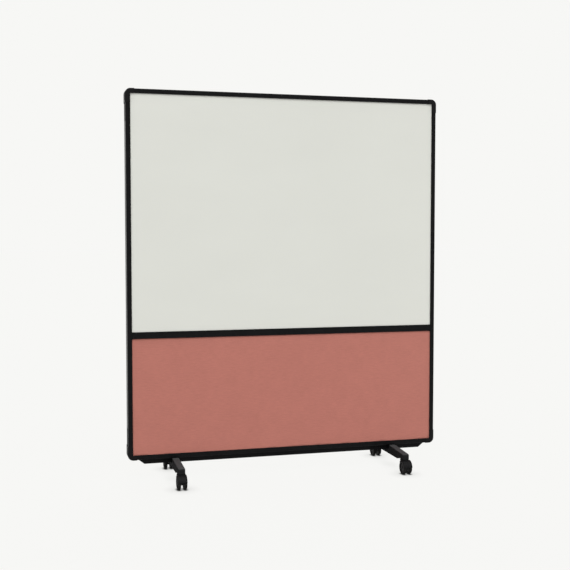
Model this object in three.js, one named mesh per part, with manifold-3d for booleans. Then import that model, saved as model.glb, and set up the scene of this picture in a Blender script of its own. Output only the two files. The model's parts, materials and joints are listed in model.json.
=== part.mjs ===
// Rolling partition: an aluminium frame with a whiteboard above a fabric tack panel,
// alike on both sides, on two cast feet with swivelling twin-wheel casters.
// Millimetres, +Z up. X runs along the partition, Y through its thickness, front at -Y.
// The origin is on the floor, below the middle of the partition.

import * as THREE from 'three';
import { mergeVertices } from 'three/addons/utils/BufferGeometryUtils.js';
import Module from 'manifold-3d';

const wasm = await Module();
wasm.setup();

// ---------------------------------------------------------------- driving sizes

const seat = 0.3; // gap between pieces that touch
const root = 1; // how far joined solids run into each other

// frame
const openingWidth = 1485; // clear width between the stiles
const tackHeight = 544; // clear height of the fabric field
const midRailHeight = 31;
const boardHeight = 1095; // clear height of the whiteboard field
const frameDepth = 66;
const faceWidth = 21.5; // sight width of the stiles and rails

// section of the frame extrusion
const faceWall = 2.5;
const webWall = 2;
const edgeRadius = 5; // outer edges
const lipRadius = 1; // edges beside the panels
const lipDepth = 5; // from the face of the frame back to the panel
const lipHeight = 3;
const chamberDepth = 5.3; // closed hollow between the slot and the outer side
const grooveMargin = 3; // from the rounded edge to the shallow groove in the outer side
const grooveDepth = 2.2;
const midRailCore = 11; // height of the mid rail between its two slots

// panels
const panelEdgeGap = 0.5; // from a panel's edge to the floor of its slot
const panelRebate = 0.6; // a panel's edges are set back so far where the lips hold them
const boardSheet = 1; // steel face of the whiteboard
const tackBoard = 12; // fibreboard with its fabric

// corner caps
const capProud = 2; // beyond the outer side of the frame
const capFaceProud = 1.5; // beyond the front and back of the frame
const capInnerRadius = 2.5;
const capLegUp = 64; // sleeve along the stile, from the frame's outer corner
const capLegAlong = 40; // sleeve along the rail
const capStraight = 2; // from the round corner to the ends of the extrusions
const spigotPast = 4; // how far the spigots reach past the screw
const tongueEnd = 146; // tongue in the stile's groove, from the outer corner
const capScrewInset = 8; // screw above the end of the sleeve
const capScrewRadius = 2.5;
const capScrewHead = 4.4; // radius
const capScrewSink = 2;
const capScrewBite = 3; // how far the screw enters the spigot

// under beam, a hat section with slanted ends
const beamWidth = 32;
const beamDrop = 22.9; // below the frame
const beamInset = 46; // from the side of the frame to the upper end of the beam
const beamSlant = 30; // its lower side is so much shorter at each end
const beamWall = 2.5;
const beamFlange = 1.8; // thickness, in the groove of the bottom rail

// feet
const footInset = 220; // from the side of the frame to the middle of the foot
const footWidth = 34;
const footRound = 6; // rounding of the upper edges
const footUnderBeam = 21.3; // thickness below the beam
const footTipHeight = 26.9; // at the tip, over the caster
const footTaper = 8.7; // from the level middle down to the tip
const footCrestHalf = 36; // the level stretch of the upper side, each way
const footTipMargin = 21; // from the stem's axis to the tip
const footTipRadius = 10;
const footSwivelReach = 58; // from the stem's axis to where the underside rises
const footSwivelRun = 16;
const footSkin = 5; // top of the casting over its pockets
const footSide = 4.5; // sides beside the pockets
const footRib = 5;
const footPocketMargin = 15; // from the beam to the first pocket
const footPockets = 3; // in each arm

// bolts through the foot into the beam
const boltRadius = 3;
const boltHeadRadius = 5;
const boltHead = 6;
const boltSink = 8; // counterbore
const boltSpacing = 15.2;
const boltSocket = 5; // across the flats
const boltSocketDepth = 3;
const nutRadius = 5.5;
const nutHeight = 9;

// casters
const wheelRadius = 32;
const casterTrail = 18; // from the stem's axis to the axle
const axleReach = 206; // from the middle of the partition to the axles
const casterHalfWidth = 21.5;
const casterWebHalf = 6.6; // half the thickness of the body between the wheels
const casterWebInset = 1; // from the tread to the edge of the body
const casterWebBottom = 15; // below the axle
const tyreDepth = 4.1;
const tyreInset = 0.7; // inner side of the tyre, from the body
const tyreChamfer = 1;
const tyreShoulder = 6; // width of the rounded outer edge
const tyreShoulderDrop = 2.6;
const rimInset = 0.6; // outer side of the rim, from the outer side of the tyre
const rimBand = 2.5; // width of the rim's flat ring
const rimLip = 2.5; // width of its slope down into the dish
const dishInset = 4.4;
const hubRadius = 8.2;
const hubInset = 3;
const hubCapRadius = 6;
const hubCapInset = 1.6;
const wheelWeb = 3.6; // depth of the hollow in the wheel's inner side
const hoodGap = 1; // over the tyre
const hoodWall = 2;
const hoodCrown = 2.5; // width of the bevel on the hood's outer edges
const hoodStart = 36; // degrees up from the floor's level, on the stem's side
const hoodEnd = 172;
const axleRadius = 3;
const axleCover = 4.3; // from the end of the axle to the outer side of the wheel
const neckRadius = 14;
const stemRadius = 5; // threaded into the foot
const stemCover = 5.9; // metal of the foot over the stem
const stemChamfer = 1;
const journalRadius = 4;
const journalLength = 31;
const collarRadius = 16;
const collarHeight = 2;

const roundSteps = 18; // facets round a wheel
const sweepSteps = 32; // facets round a full turn of a hood or a corner
const boreSteps = 14;
const screwSteps = 12;
const arcSteps = 2; // twice this many facets in an arc
const bevelSteps = 2;

// ---------------------------------------------------------------- places

const hoodRadius = wheelRadius + hoodGap + hoodWall;
const neckTop = wheelRadius + hoodRadius;
const collarBottom = neckTop + seat;
const collarTop = collarBottom + collarHeight;
const footCasterSide = collarTop + seat;
const footCrest = footCasterSide + footTipHeight + footTaper;
const frameBottom = footCrest + seat;
const tackBottom = frameBottom + faceWidth;
const midRailBottom = tackBottom + tackHeight;
const boardBottom = midRailBottom + midRailHeight;
const boardTop = boardBottom + boardHeight;
const frameTop = boardTop + faceWidth;
const frameMiddle = (frameBottom + frameTop) / 2;
const openingHalfWidth = openingWidth / 2;
const openingHalfHeight = (boardTop - tackBottom) / 2;
const frameHalfWidth = openingHalfWidth + faceWidth;
const frameHalfHeight = openingHalfHeight + faceWidth;
const depthHalf = frameDepth / 2;
const slotHalf = depthHalf - faceWall;
const lipHalf = depthHalf - lipDepth;
const grooveHalf = depthHalf - edgeRadius - grooveMargin;
const chamberOuter = faceWidth - grooveDepth - webWall;
const chamberInner = chamberOuter - chamberDepth;
const slotDepth = chamberInner - webWall;
const midSlotDepth = (midRailHeight - midRailCore) / 2;
const capBlock = faceWidth + capInnerRadius + capStraight;
const capScrewHeight = frameHalfHeight - capLegUp + capScrewInset;
const capScrewLength = capProud + grooveDepth + webWall + seat + capScrewBite;
const spigotLength = capLegUp - capScrewInset + spigotPast - capBlock;
const beamHalf = beamWidth / 2;
const beamBottom = frameBottom - beamDrop;
const beamHalfTop = frameHalfWidth - beamInset;
const beamHalfBottom = beamHalfTop - beamSlant;
const footPlace = frameHalfWidth - footInset;
const footBottom = beamBottom - seat - footUnderBeam;
const stemReach = axleReach - casterTrail;
const stemTop = footCasterSide + footTipHeight - stemCover;
const footTip = stemReach + footTipMargin;
const footSwivelStart = stemReach - footSwivelReach;
const footPocketStart = beamHalf + footPocketMargin;
const wheelInner = casterWebHalf + seat;
const axleHalfLength = casterHalfWidth - axleCover;

// ---------------------------------------------------------------- materials

function finish(color, roughness, metalness) {
  return new THREE.MeshStandardMaterial({ color, roughness, metalness });
}

const blackAluminium = finish(0x1b1b1c, 0.42, 0.35);
const blackMoulding = finish(0x191919, 0.5, 0);
const stripPlastic = finish(0x3c3c3b, 0.45, 0);
const whiteEnamel = finish(0xdcddd6, 0.3, 0);
const salmonFabric = finish(0xb87668, 0.95, 0);
const paperCore = finish(0xb9a27c, 0.9, 0);
const castBlack = finish(0x1d1d1e, 0.5, 0.3);
const zincSteel = finish(0xb4b6b8, 0.35, 0.9);
const blackSteel = finish(0x202021, 0.45, 0.6);
const wheelNylon = finish(0x1f1f20, 0.55, 0);
const tyreRubber = finish(0x161616, 0.8, 0);

// ---------------------------------------------------------------- solids

function solid(geometry) {
  const bare = geometry.index ? geometry.toNonIndexed() : geometry.clone();
  bare.deleteAttribute('normal');
  bare.deleteAttribute('uv');
  const merged = mergeVertices(bare, 1e-4);
  return new wasm.Manifold(new wasm.Mesh({
    numProp: 3,
    vertProperties: new Float32Array(merged.attributes.position.array),
    triVerts: new Uint32Array(merged.index.array),
  }));
}

function surface(body) {
  const mesh = body.getMesh();
  const geometry = new THREE.BufferGeometry();
  geometry.setAttribute('position', new THREE.BufferAttribute(mesh.vertProperties, 3));
  geometry.setIndex(new THREE.BufferAttribute(mesh.triVerts, 1));
  geometry.computeVertexNormals();
  return geometry;
}

function join(geometries) {
  return geometries.map(solid).reduce((sum, next) => sum.add(next));
}

function cut(geometry, tools) {
  return surface(tools.map(solid).reduce((rest, tool) => rest.subtract(tool), solid(geometry)));
}

function block(x, y, z) {
  const geometry = new THREE.BoxGeometry(x[1] - x[0], y[1] - y[0], z[1] - z[0]);
  return geometry.translate((x[0] + x[1]) / 2, (y[0] + y[1]) / 2, (z[0] + z[1]) / 2);
}

// a section drawn in X and Y, drawn out along Z
function drawn(section, from, to) {
  const options = { depth: to - from, bevelEnabled: false, curveSegments: arcSteps };
  return new THREE.ExtrudeGeometry(section, options).translate(0, 0, from);
}

// turns a geometry made in X, Y, Z so that its X lies on Y, its Y on Z and its Z on X
function sideways(geometry) {
  const x = new THREE.Vector3(0, 1, 0);
  const y = new THREE.Vector3(0, 0, 1);
  const z = new THREE.Vector3(1, 0, 0);
  return geometry.applyMatrix4(new THREE.Matrix4().makeBasis(x, y, z));
}

// turned pieces: the points are [radius, place along the axis]
function turned(points, steps = roundSteps) {
  return new THREE.LatheGeometry(points.map(([r, a]) => new THREE.Vector2(r, a)), steps);
}

function turnedUpright(points, steps) {
  return turned(points, steps).rotateX(Math.PI / 2);
}

// a flat of the facets faces down, so that the wheel stands on it
function turnedAcross(points, steps = roundSteps) {
  return turned(points, steps).rotateY(Math.PI / steps).rotateZ(-Math.PI / 2);
}

function rod(radius, from, to, steps = boreSteps) {
  const geometry = new THREE.CylinderGeometry(radius, radius, to - from, steps);
  return geometry.rotateX(Math.PI / 2).translate(0, 0, (from + to) / 2);
}

function polygon(points) {
  return new THREE.Shape(points.map(([x, y]) => new THREE.Vector2(x, y)));
}

// ---------------------------------------------------------------- frame extrusion

// x is the distance from the opening outwards, y runs through the thickness
function frameSection() {
  const outer = faceWidth - edgeRadius;
  const edge = depthHalf - edgeRadius;
  const lip = depthHalf - lipRadius;
  const section = new THREE.Shape();
  section.moveTo(slotDepth, -slotHalf);
  section.lineTo(lipHeight, -slotHalf);
  section.lineTo(lipHeight, -lipHalf);
  section.lineTo(0, -lipHalf);
  section.absarc(lipRadius, -lip, lipRadius, Math.PI, 1.5 * Math.PI);
  section.absarc(outer, -edge, edgeRadius, -Math.PI / 2, 0);
  section.lineTo(faceWidth, -grooveHalf);
  section.lineTo(faceWidth - grooveDepth, -grooveHalf);
  section.lineTo(faceWidth - grooveDepth, grooveHalf);
  section.lineTo(faceWidth, grooveHalf);
  section.absarc(outer, edge, edgeRadius, 0, Math.PI / 2);
  section.absarc(lipRadius, lip, lipRadius, Math.PI / 2, Math.PI);
  section.lineTo(0, lipHalf);
  section.lineTo(lipHeight, lipHalf);
  section.lineTo(lipHeight, slotHalf);
  section.lineTo(slotDepth, slotHalf);
  section.closePath();
  return section;
}

// the hollow of a bar that runs from -half to half
function chamber(from, to, half) {
  return block([from, to], [-slotHalf, slotHalf], [-half - root, half + root]);
}

// a stile stands upright with its groove towards +X, centred on its own origin
function stile() {
  const half = frameHalfHeight - capBlock - seat;
  const bar = drawn(frameSection(), -half, half);
  const holes = [-capScrewHeight, capScrewHeight].map((z) => {
    const hole = rod(capScrewRadius + seat, 0, 2 * webWall).rotateY(Math.PI / 2);
    return hole.translate(chamberOuter - webWall / 2, 0, z);
  });
  return cut(bar, [chamber(chamberInner, chamberOuter, half), ...holes]);
}

function rail() {
  const half = frameHalfWidth - capBlock - seat;
  return cut(drawn(frameSection(), -half, half), [chamber(chamberInner, chamberOuter, half)]);
}

function midRailSection() {
  const half = midRailHeight / 2;
  const lip = depthHalf - lipRadius;
  const section = new THREE.Shape();
  const side = (sx, sy) => [
    [sx * midRailCore / 2, sy * slotHalf],
    [sx * (half - lipHeight), sy * slotHalf],
    [sx * (half - lipHeight), sy * lipHalf],
    [sx * half, sy * lipHalf],
  ];
  const round = (sx, sy, start) => {
    section.absarc(sx * (half - lipRadius), sy * lip, lipRadius, start, start + Math.PI / 2);
  };
  const trace = (points) => points.forEach(([x, y]) => section.lineTo(x, y));
  section.moveTo(-midRailCore / 2, -slotHalf);
  trace(side(-1, -1).slice(1));
  round(-1, -1, Math.PI);
  round(1, -1, 1.5 * Math.PI);
  trace(side(1, -1).reverse());
  trace(side(1, 1));
  round(1, 1, 0);
  round(-1, 1, Math.PI / 2);
  trace(side(-1, 1).reverse());
  section.closePath();
  return section;
}

// the mid rail's ends are coped: its webs enter the stiles' slots, its faces butt on the lips
function midRail() {
  const half = openingHalfWidth + slotDepth - seat;
  const bar = drawn(midRailSection(), -half, half);
  const shoulder = openingHalfWidth - seat;
  const height = [-midRailHeight, midRailHeight];
  const copes = [-1, 1].flatMap((end) => [-1, 1].map((face) => {
    const y = [lipHalf - seat, frameDepth].map((v) => face * v).sort((a, b) => a - b);
    const z = [shoulder, shoulder + frameDepth].map((v) => end * v).sort((a, b) => a - b);
    return block(height, y, z);
  }));
  const wallHalf = midRailCore / 2 - webWall;
  return cut(bar, [chamber(-wallHalf, wallHalf, half), ...copes]);
}

// ---------------------------------------------------------------- corner caps

// outline of the frame's section grown by so much at the outer side and at the faces
function sleeveSection(growOut, growFace, inner) {
  const out = faceWidth + growOut;
  const face = depthHalf + growFace;
  const radius = edgeRadius + growFace;
  const section = new THREE.Shape();
  section.moveTo(inner, -face);
  section.lineTo(out - radius, -face);
  section.absarc(out - radius, radius - face, radius, -Math.PI / 2, 0);
  section.absarc(out - radius, face - radius, radius, 0, Math.PI / 2);
  section.lineTo(inner, face);
  section.closePath();
  return section;
}

// along +X, with its head flush with the outer side of the cap
function capScrew(grow = 0) {
  const shank = capScrewRadius + grow;
  const head = capScrewHead + grow;
  const end = -capScrewLength - grow;
  const points = [[0, end], [shank, end], [shank, -capScrewSink], [head, 0]];
  if (grow > 0) points.push([head, grow]);
  points.push([0, grow]);
  const screw = turned(points, screwSteps).rotateZ(-Math.PI / 2);
  return screw.translate(frameHalfWidth + capProud, 0, capScrewHeight);
}

// upper right cap, in a frame whose origin is the middle of the partition's frame:
// two straight legs and a turned quarter that runs a little into both
function cornerCap() {
  const centreX = openingHalfWidth - capInnerRadius;
  const centreZ = openingHalfHeight - capInnerRadius;
  const section = sleeveSection(capProud, capFaceProud, 0);
  const moved = section.extractPoints(arcSteps).shape.map((p) => [p.x + capInnerRadius, p.y]);
  const reach = faceWidth + frameDepth;
  const quarter = solid(turned([...moved, moved[0]], sweepSteps))
    .intersect(solid(block([-seat, reach], [-reach, reach], [-seat, reach])));
  const upLength = centreZ - (frameHalfHeight - capLegUp);
  const alongLength = centreX - (frameHalfWidth - capLegAlong);
  const legUp = drawn(polygon(moved), -upLength, 0);
  const legAlong = drawn(polygon(moved), 0, alongLength).rotateY(-Math.PI / 2);
  const outside = quarter.add(solid(legUp)).add(solid(legAlong)).translate([centreX, 0, centreZ]);

  const bore = sleeveSection(seat, seat, -reach);
  const stileEnd = frameHalfHeight - capBlock;
  const railEnd = frameHalfWidth - capBlock;
  const stileBore = drawn(bore, stileEnd - 2 * capLegUp, stileEnd).translate(openingHalfWidth, 0, 0);
  const railBore = drawn(bore, -railEnd, 2 * capLegUp - railEnd).rotateY(-Math.PI / 2)
    .translate(0, 0, openingHalfHeight);
  const slotX = openingHalfWidth + slotDepth;
  const slotZ = openingHalfHeight + slotDepth;
  const slot = block([slotX - reach, slotX], [-lipHalf, lipHalf], [slotZ - reach, slotZ]);
  const shell = outside.subtract(solid(stileBore)).subtract(solid(railBore)).subtract(solid(slot));

  const spigotFrom = chamberInner + seat;
  const spigotTo = chamberOuter - seat;
  const spigotY = [seat - slotHalf, slotHalf - seat];
  const stileSpigot = block(
    [openingHalfWidth + spigotFrom, openingHalfWidth + spigotTo], spigotY,
    [stileEnd - spigotLength, stileEnd + root]);
  const railSpigot = block(
    [railEnd - spigotLength, railEnd + root], spigotY,
    [openingHalfHeight + spigotFrom, openingHalfHeight + spigotTo]);
  const tongueX = frameHalfWidth - grooveDepth + seat;
  const tongueY = [seat - grooveHalf, grooveHalf - seat];
  const tongue = block([tongueX, frameHalfWidth], tongueY,
    [frameHalfHeight - tongueEnd, stileEnd + root]);
  const tongueBed = block([tongueX, frameHalfWidth + root], tongueY,
    [frameHalfHeight - capLegUp + seat, stileEnd + root]);
  const body = [stileSpigot, railSpigot, tongue, tongueBed].map(solid)
    .reduce((sum, next) => sum.add(next), shell);
  return surface(body.subtract(solid(capScrew(seat))));
}

// ---------------------------------------------------------------- panels

// how far a panel of the whiteboard or the fabric field runs into the slots round it
const board = { bottom: boardBottom, top: boardTop, down: midSlotDepth, up: slotDepth };
const tack = { bottom: tackBottom, top: midRailBottom, down: slotDepth, up: midSlotDepth };

function core(field, thickness) {
  const half = openingHalfWidth + slotDepth - panelEdgeGap;
  const bottom = field.bottom - field.down + panelEdgeGap;
  const top = field.top + field.up - panelEdgeGap;
  return block([-half, half], [-thickness / 2, thickness / 2], [bottom, top]);
}

// the part of a field between the lips, its corners clear of the corner caps
function fieldOutline(field) {
  const x = openingHalfWidth - capInnerRadius;
  const low = field.bottom + capInnerRadius;
  const high = field.top - capInnerRadius;
  const radius = capInnerRadius - seat;
  const outline = new THREE.Shape();
  const corners = [[x, low], [x, high], [-x, high], [-x, low]];
  corners.forEach(([cx, cy], i) => {
    outline.absarc(cx, cy, radius, (i - 1) * Math.PI / 2, i * Math.PI / 2);
  });
  outline.closePath();
  return outline;
}

// a face sheet with its outer side at -Y: its field stands forward between the lips
function faceSheet(field, thickness, face) {
  const front = drawn(fieldOutline(field), face - thickness, face).rotateX(Math.PI / 2);
  const edges = core(field, thickness - panelRebate)
    .translate(0, (thickness + panelRebate) / 2 - face, 0);
  return surface(join([edges, front]));
}

// the shallow strip that closes the frame's groove, upright, with its face towards +X
function grooveStrip(half) {
  const x = [faceWidth - grooveDepth + seat, faceWidth];
  return block(x, [seat - grooveHalf, grooveHalf - seat], [-half, half]);
}

// ---------------------------------------------------------------- under beam and feet

function beamOutline(inset) {
  const slope = (beamHalfTop - beamHalfBottom) / beamDrop;
  const shift = inset * Math.hypot(1, slope);
  const bottom = beamBottom + inset;
  const top = frameBottom + (inset ? grooveDepth : 0);
  const at = (z) => beamHalfBottom + slope * (z - beamBottom) - shift;
  return polygon([[-at(bottom), bottom], [at(bottom), bottom], [at(top), top], [-at(top), top]]);
}

function upright(section, half) {
  return drawn(section, -half, half).rotateX(Math.PI / 2);
}

function footBolts() {
  return [-1, 1].flatMap((side) => [-1, 1].map((bolt) => {
    return side * footPlace + bolt * boltSpacing / 2;
  }));
}

function underBeam() {
  const outside = upright(beamOutline(0), beamHalf);
  const inside = upright(beamOutline(beamWall), beamHalf - beamWall);
  const flangeTop = frameBottom + grooveDepth - seat;
  const flangeX = [-beamHalfTop, beamHalfTop];
  const flangeY = [seat - grooveHalf, grooveHalf - seat];
  const flange = block(flangeX, flangeY, [flangeTop - beamFlange, flangeTop]);
  const neck = block(flangeX, [-beamHalf, beamHalf], [frameBottom - beamWall, flangeTop]);
  const floor = beamBottom + beamWall;
  const nutTop = floor + nutHeight;
  const nuts = footBolts().map((x) => rod(nutRadius, floor - root, nutTop).translate(x, 0, 0));
  const bores = footBolts().map((x) => {
    return rod(boltRadius + seat, beamBottom - root, nutTop + root).translate(x, 0, 0);
  });
  const shell = join([outside, neck, flange]).subtract(solid(inside));
  const bossed = nuts.map(solid).reduce((sum, next) => sum.add(next), shell);
  return surface(bores.map(solid).reduce((rest, next) => rest.subtract(next), bossed));
}

function footTopAt(y) {
  const run = footTip - footTipRadius - footCrestHalf;
  return footCrest - Math.max(0, Math.abs(y) - footCrestHalf) * footTaper / run;
}

// the casting from the side, deeper than it is: its underside is cut afterwards
function footOutline() {
  const deep = footBottom - 2 * footRound;
  const turn = footCasterSide + footTipHeight - footTipRadius;
  const outline = new THREE.Shape();
  outline.moveTo(-footTip, deep);
  outline.lineTo(footTip, deep);
  outline.absarc(footTip - footTipRadius, turn, footTipRadius, 0, Math.PI / 2);
  outline.lineTo(footCrestHalf, footCrest);
  outline.lineTo(-footCrestHalf, footCrest);
  outline.absarc(footTipRadius - footTip, turn, footTipRadius, Math.PI / 2, Math.PI);
  outline.closePath();
  return outline;
}

function footBlank() {
  const depth = footWidth - 2 * footRound;
  const bevel = { bevelSize: footRound, bevelThickness: footRound, bevelOffset: -footRound };
  const steps = { curveSegments: arcSteps, bevelSegments: bevelSteps };
  const options = { depth, bevelEnabled: true, ...bevel, ...steps };
  const blank = new THREE.ExtrudeGeometry(footOutline(), options).translate(0, 0, -depth / 2);
  return sideways(blank);
}

function footTools() {
  const low = footBottom - footWidth;
  const far = footTip + footWidth;
  const rise = footSwivelStart + footSwivelRun;
  const underside = polygon([
    [-far, low], [far, low], [far, footCasterSide], [rise, footCasterSide],
    [footSwivelStart, footBottom], [-footSwivelStart, footBottom],
    [-rise, footCasterSide], [-far, footCasterSide],
  ]);
  const saddleY = [-beamHalf - seat, beamHalf + seat];
  const saddle = block([-footWidth, footWidth], saddleY, [beamBottom - seat, footCrest + root]);
  const pocketHalf = footWidth / 2 - footSide;
  const pitch = (footSwivelStart - footPocketStart) / footPockets;
  const pockets = [];
  for (let i = 0; i < footPockets; i += 1) {
    const from = footPocketStart + i * pitch;
    const to = from + pitch - footRib;
    const roof = (y) => footTopAt(y) - footSkin;
    const pocket = [[from, low], [to, low], [to, roof(to)], [from, roof(from)]];
    pockets.push(polygon(pocket));
    pockets.push(polygon(pocket.map(([y, z]) => [-y, z]).reverse()));
  }
  const bolts = [-1, 1].flatMap((bolt) => {
    const x = bolt * boltSpacing / 2;
    const hole = rod(boltRadius + seat, low, footCrest).translate(x, 0, 0);
    const sink = rod(boltHeadRadius + seat, low, footBottom + boltSink).translate(x, 0, 0);
    return [hole, sink];
  });
  const stems = [-stemReach, stemReach].map((y) => {
    return rod(stemRadius + seat, low, stemTop + seat).translate(0, y, 0);
  });
  return [
    sideways(drawn(underside, -footWidth, footWidth)), saddle,
    ...pockets.map((pocket) => sideways(drawn(pocket, -pocketHalf, pocketHalf))),
    ...bolts, ...stems,
  ];
}

function foot() {
  return cut(footBlank(), footTools());
}

function footBolt() {
  const under = footBottom + boltSink - seat;
  const face = under - boltHead;
  const head = rod(boltHeadRadius, face, under);
  const shank = rod(boltRadius, under - root, beamBottom + beamWall + nutHeight);
  const socketRadius = boltSocket / 2 / Math.cos(Math.PI / 6);
  const socket = rod(socketRadius, face - root, face + boltSocketDepth, 6);
  return surface(join([head, shank]).subtract(solid(socket)));
}

// ---------------------------------------------------------------- casters

// Each caster's own origin is on the floor below its stem. The wheels trail towards -Y.

function casterStem() {
  const end = neckTop - journalLength;
  const profile = [
    [0, end], [journalRadius, end], [journalRadius, collarBottom],
    [collarRadius, collarBottom], [collarRadius, collarTop],
    [stemRadius, collarTop], [stemRadius, stemTop - stemChamfer],
    [stemRadius - stemChamfer, stemTop], [0, stemTop],
  ];
  return turnedUpright(profile, screwSteps);
}

function casterWeb() {
  const start = THREE.MathUtils.degToRad(hoodStart);
  const end = THREE.MathUtils.degToRad(hoodEnd);
  const radius = wheelRadius - casterWebInset;
  const low = Math.asin(casterWebBottom / radius);
  const inHood = hoodRadius - hoodWall / 2;
  const outline = new THREE.Shape();
  outline.absarc(0, 0, radius, -low, start);
  outline.absarc(0, 0, inHood, start, end);
  outline.absarc(0, 0, radius, end, Math.PI + low);
  outline.closePath();
  const options = { depth: 2 * casterWebHalf, bevelEnabled: false, curveSegments: 2 * arcSteps };
  return sideways(new THREE.ExtrudeGeometry(outline, options).translate(0, 0, -casterWebHalf));
}

function casterHood() {
  const inner = hoodRadius - hoodWall;
  const edge = hoodRadius - hoodWall / 2;
  const ring = [
    [inner, -casterHalfWidth], [edge, -casterHalfWidth],
    [hoodRadius, hoodCrown - casterHalfWidth], [hoodRadius, casterHalfWidth - hoodCrown],
    [edge, casterHalfWidth], [inner, casterHalfWidth],
  ];
  const far = 3 * wheelRadius;
  const ray = (degrees) => {
    const angle = THREE.MathUtils.degToRad(degrees);
    return [far * Math.cos(angle), far * Math.sin(angle)];
  };
  const sector = polygon([[0, 0], ray(hoodStart), [0, 2 * far], ray(hoodEnd)]);
  return solid(turned([...ring, ring[0]], sweepSteps).rotateZ(-Math.PI / 2))
    .intersect(solid(sideways(drawn(sector, -far, far))));
}

function casterBody() {
  const inHood = hoodRadius - hoodWall / 2;
  const under = rod(inHood, -wheelRadius, wheelRadius, sweepSteps).rotateY(Math.PI / 2);
  const neck = solid(rod(neckRadius, 0, hoodRadius, roundSteps).translate(0, casterTrail, 0))
    .subtract(solid(under));
  const stemBore = rod(journalRadius + seat, neckTop - journalLength - seat, neckTop + root)
    .translate(0, casterTrail, -wheelRadius);
  const axleBore = rod(axleRadius + seat, -wheelRadius, wheelRadius).rotateY(Math.PI / 2);
  const body = solid(casterWeb()).add(casterHood()).add(neck)
    .subtract(solid(stemBore)).subtract(solid(axleBore));
  return surface(body.translate([0, -casterTrail, wheelRadius]));
}

function casterAxle() {
  const pin = rod(axleRadius, -axleHalfLength, axleHalfLength).rotateY(Math.PI / 2);
  return pin.translate(0, -casterTrail, wheelRadius);
}

// the wheel and tyre towards +X; place along the axis is measured from the caster's middle
function casterWheel() {
  const rim = wheelRadius - tyreDepth - seat;
  const dish = rim - rimBand - rimLip;
  const outer = casterHalfWidth;
  const bore = axleRadius + seat;
  const boreEnd = axleHalfLength + seat;
  const profile = [
    [0, boreEnd], [bore, boreEnd], [bore, wheelInner], [hubRadius, wheelInner],
    [hubRadius, wheelInner + wheelWeb], [dish, wheelInner + wheelWeb],
    [rim - rimBand, wheelInner + tyreInset], [rim, wheelInner + tyreInset],
    [rim, outer - rimInset], [rim - rimBand, outer - rimInset], [dish, outer - dishInset],
    [hubRadius, outer - hubInset], [hubCapRadius, outer - hubCapInset], [0, outer - hubCapInset],
  ];
  return turnedAcross(profile);
}

function casterTyre() {
  const tread = wheelRadius / Math.cos(Math.PI / roundSteps);
  const bed = wheelRadius - tyreDepth;
  const inner = wheelInner + tyreInset;
  const shoulder = [0, 0.5, 1].map((t) => {
    return [tread - tyreShoulderDrop * t * t, casterHalfWidth - tyreShoulder * (1 - t)];
  });
  const profile = [[bed, inner], [tread, inner + tyreChamfer], ...shoulder, [bed, casterHalfWidth]];
  return turnedAcross([...profile, profile[0]]);
}

// ---------------------------------------------------------------- assembly

const partition = new THREE.Group();

function place(group, name, geometry, material, position = [0, 0, 0], rotation = [0, 0, 0]) {
  const mesh = new THREE.Mesh(geometry, material);
  mesh.name = name;
  mesh.position.set(...position);
  mesh.rotation.set(...rotation);
  group.add(mesh);
}

function addGroup(position, rotation) {
  const group = new THREE.Group();
  group.position.set(...position);
  group.rotation.set(...rotation);
  partition.add(group);
  return group;
}

function addFrame() {
  const quarter = Math.PI / 2;
  const middle = [0, 0, frameMiddle];
  const bars = addGroup(middle, [0, 0, 0]);
  const side = openingHalfWidth;
  const end = openingHalfHeight;
  place(bars, 'left_stile', stile(), blackAluminium, [-side, 0, 0], [0, 0, Math.PI]);
  place(bars, 'right_stile', stile(), blackAluminium, [side, 0, 0]);
  place(bars, 'top_rail', rail(), blackAluminium, [0, 0, end], [0, -quarter, 0]);
  place(bars, 'bottom_rail', rail(), blackAluminium, [0, 0, -end], [0, quarter, 0]);
  const midRailPlace = [0, 0, midRailBottom + midRailHeight / 2];
  place(partition, 'mid_rail', midRail(), blackAluminium, midRailPlace, [0, -quarter, 0]);
  const sideStrip = frameHalfHeight - tongueEnd - seat;
  const topStrip = frameHalfWidth - capLegAlong - seat;
  place(bars, 'left_edge_strip', grooveStrip(sideStrip), stripPlastic, [-side, 0, 0], [0, 0, Math.PI]);
  place(bars, 'right_edge_strip', grooveStrip(sideStrip), stripPlastic, [side, 0, 0]);
  place(bars, 'top_edge_strip', grooveStrip(topStrip), stripPlastic, [0, 0, end], [0, -quarter, 0]);
  const corners = {
    top_right: [0, 0, 0],
    top_left: [0, 0, Math.PI],
    bottom_right: [Math.PI, 0, 0],
    bottom_left: [0, Math.PI, 0],
  };
  for (const [corner, rotation] of Object.entries(corners)) {
    const group = addGroup(middle, rotation);
    place(group, `corner_cap_${corner}`, cornerCap(), blackMoulding);
    place(group, `cap_screw_${corner}`, capScrew(), zincSteel);
  }
}

function addPanels() {
  const face = lipHalf - seat + panelRebate;
  const half = Math.PI;
  const boardCore = face - boardSheet - seat;
  const tackCore = face - tackBoard - seat;
  const boardFace = faceSheet(board, boardSheet, face);
  const tackFace = faceSheet(tack, tackBoard, face);
  place(partition, 'whiteboard_front', boardFace, whiteEnamel);
  place(partition, 'whiteboard_back', boardFace.clone(), whiteEnamel, [0, 0, 0], [0, 0, half]);
  place(partition, 'whiteboard_core', core(board, 2 * boardCore), paperCore);
  place(partition, 'tack_panel_front', tackFace, salmonFabric);
  place(partition, 'tack_panel_back', tackFace.clone(), salmonFabric, [0, 0, 0], [0, 0, half]);
  place(partition, 'tack_core', core(tack, 2 * tackCore), paperCore);
}

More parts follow.
